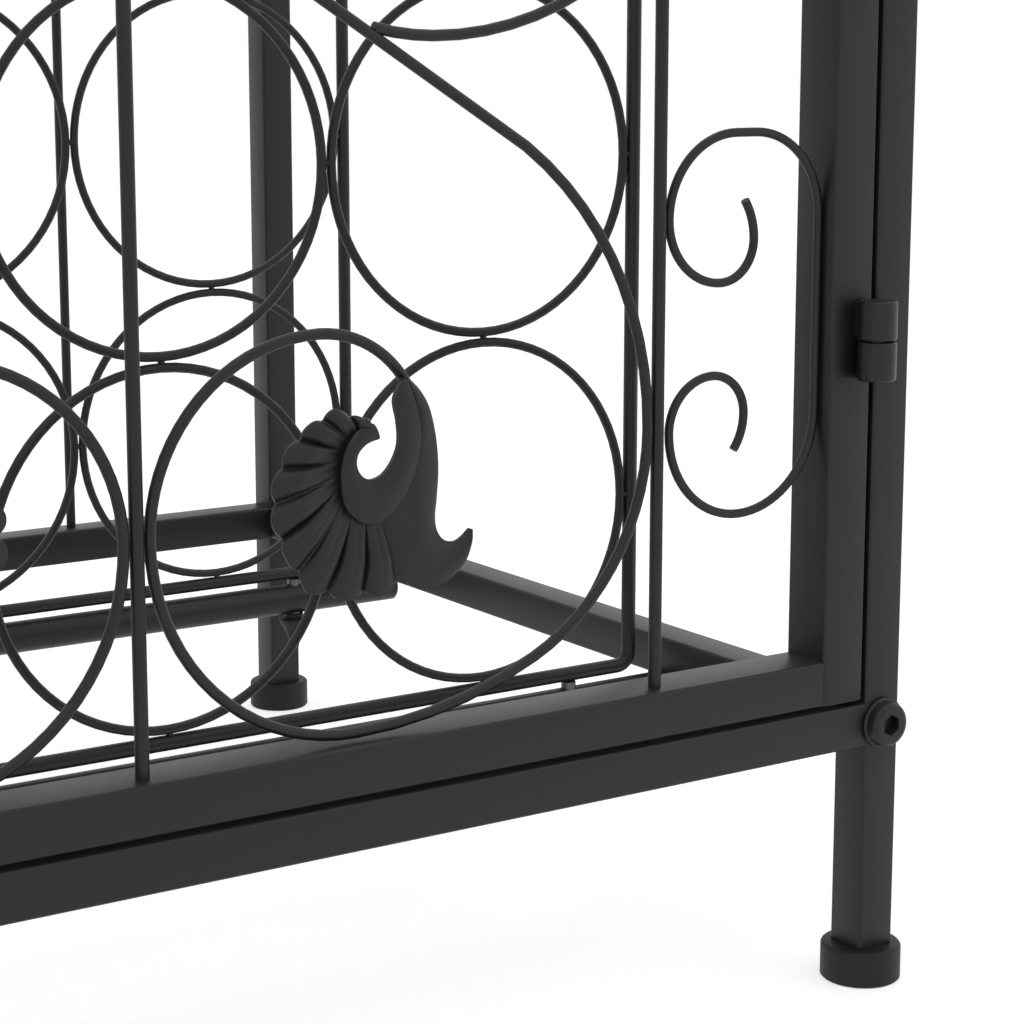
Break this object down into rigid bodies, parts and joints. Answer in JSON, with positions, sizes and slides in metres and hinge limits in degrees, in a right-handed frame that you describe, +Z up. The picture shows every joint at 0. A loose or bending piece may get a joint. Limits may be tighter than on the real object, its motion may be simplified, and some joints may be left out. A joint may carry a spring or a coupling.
{
  "type": "wine rack",
  "caption": "Tall black wire wine rack in a square-tube frame, with ring cells for lying bottles and a hinged front door of scrolls and pressed leaves.",
  "frame": {"origin": "middle of the footprint at floor level", "axes": "+Z up, the door faces -Y, +X is to the right of someone looking along +Y at the door"},
  "size_m": [0.453, 0.3625, 1.0009],
  "materials": {
    "powder_coat": "satin black powder coat",
    "zinc_steel": "dull zinc",
    "black_plastic": "matt moulded black"
  },
  "bodies": {
    "frame": {"front_left_post": "powder_coat", "front_right_post": "powder_coat", "rear_left_post": "powder_coat", "rear_right_post": "powder_coat", "front_bottom_rail": "powder_coat", "front_top_rail": "powder_coat", "rear_bottom_rail": "powder_coat", "rear_top_rail": "powder_coat", "left_bottom_rail": "powder_coat", "right_bottom_rail": "powder_coat", "left_top_rail": "powder_coat", "right_top_rail": "powder_coat", "rear_rods": "powder_coat", "front_lower_crossbar": "powder_coat", "rear_lower_crossbar": "powder_coat", "front_upper_crossbar": "powder_coat", "rear_upper_crossbar": "powder_coat", "front_rack_frame": "powder_coat", "rear_rack_frame": "powder_coat", "front_rack_rings": "powder_coat", "rear_rack_rings": "powder_coat", "rack_studs": "zinc_steel", "cone_nuts": "black_plastic", "cap_nuts": "zinc_steel", "front_left_foot": "black_plastic", "front_right_foot": "black_plastic", "rear_left_foot": "black_plastic", "rear_right_foot": "black_plastic", "post_caps": "black_plastic", "frame_bolts": "powder_coat", "rail_inserts": "zinc_steel", "post_knuckles": "powder_coat", "hinge_pins": "zinc_steel", "latch_screw": "zinc_steel", "door_stops": "powder_coat"},
    "door": {"latch_stile": "powder_coat", "hinge_stile": "powder_coat", "door_bottom_rail": "powder_coat", "door_top_rail": "powder_coat", "centre_rod": "powder_coat", "side_rods": "powder_coat", "lower_left_scroll": "powder_coat", "lower_right_scroll": "powder_coat", "upper_left_scroll": "powder_coat", "upper_right_scroll": "powder_coat", "left_middle_rings": "powder_coat", "right_middle_rings": "powder_coat", "lower_left_curl": "powder_coat", "lower_right_curl": "powder_coat", "middle_left_curl": "powder_coat", "middle_right_curl": "powder_coat", "upper_left_curl": "powder_coat", "upper_right_curl": "powder_coat", "lower_left_leaf": "powder_coat", "lower_right_leaf": "powder_coat", "upper_left_leaf": "powder_coat", "upper_right_leaf": "powder_coat", "door_knuckles": "powder_coat", "door_knob": "powder_coat"},
    "latch": {"turn_latch": "powder_coat"}
  },
  "joints": [
    {"name": "door_hinge", "type": "hinge", "parent": "frame", "child": "door", "pos_m": [0.2052, -0.1789, 0.53375], "axis": [0, 0, 1], "range_deg": [0, 160]},
    {"name": "latch_turn", "type": "hinge", "parent": "frame", "child": "latch", "pos_m": [-0.2155, -0.1735, 0.62375], "axis": [0, -1, 0], "range_deg": [0, 90]}
  ]
}
